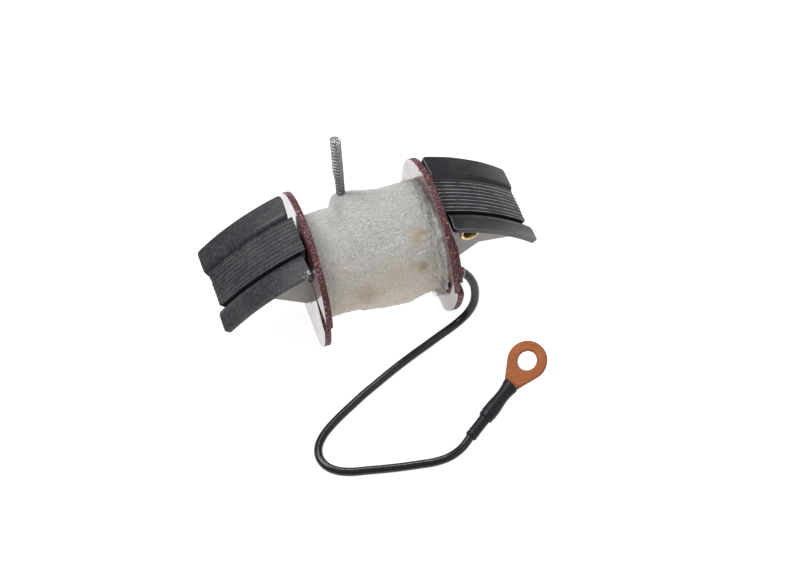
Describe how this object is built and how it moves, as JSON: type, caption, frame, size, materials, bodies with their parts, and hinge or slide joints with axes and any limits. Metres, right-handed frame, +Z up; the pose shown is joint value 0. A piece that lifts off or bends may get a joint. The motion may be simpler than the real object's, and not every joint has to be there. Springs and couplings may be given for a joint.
{
  "type": "ignition coil",
  "caption": "Flywheel-magneto ignition coil: taped winding between fibre flanges on a laminated core with arc pole shoes, a contact spring and a lead with a ring terminal.",
  "frame": {"origin": "centre of the coil's footprint without its lead, on the surface that the flanges' flat feet stand on", "axes": "+X along the winding's axis towards the flange that the lead leaves, +Z up through the contact spring, -Y the front"},
  "size_m": [0.0702, 0.065, 0.04],
  "materials": {
    "lamination_steel": "dark lacquered sheet edges",
    "cheek_steel": "blued sheet, worn",
    "eyelet_brass": "bright rolled",
    "pressboard": "matt",
    "fibre": "glossy faces, rough cut edges",
    "enamelled_wire": "varnished copper wire",
    "winding_paper": "oiled",
    "cotton_tape": "varnished gauze weave",
    "brass": "dull",
    "spring_steel": "grey drawn wire",
    "solder": "cast bead",
    "varnish": "hardened drop",
    "lead_jacket": "smooth",
    "shrink_sleeve": "satin",
    "copper": "matt copper"
  },
  "bodies": {
    "coil": {"lamination_1": "lamination_steel", "lamination_2": "lamination_steel", "lamination_3": "lamination_steel", "lamination_4": "lamination_steel", "lamination_5": "lamination_steel", "lamination_6": "lamination_steel", "lamination_7": "lamination_steel", "lamination_8": "lamination_steel", "lamination_9": "lamination_steel", "cheek_front": "cheek_steel", "cheek_back": "cheek_steel", "eyelet_left": "eyelet_brass", "eyelet_right": "eyelet_brass", "core_sleeve": "pressboard", "flange_left": "fibre", "flange_right": "fibre", "lead_clamp_plate": "fibre", "primary_winding": "enamelled_wire", "primary_paper": "winding_paper", "secondary_winding": "enamelled_wire", "secondary_paper": "winding_paper", "tape_wrap": "cotton_tape", "hv_terminal": "brass", "contact_spring": "spring_steel", "earth_wire": "enamelled_wire", "earth_solder": "solder", "lead_bushing": "varnish", "lead_wire": "lead_jacket", "lead_sleeve_inner": "shrink_sleeve", "lead_sleeve_outer": "shrink_sleeve", "ring_terminal": "copper"},
    "contact": {"contact_tip": "spring_steel"}
  },
  "joints": [
    {"name": "contact_press", "type": "slide", "parent": "coil", "child": "contact", "axis": [0, 0, -1], "range_m": [0, 0.005], "stiffness_N_per_m": 250, "deforming": ["contact_spring"]}
  ]
}
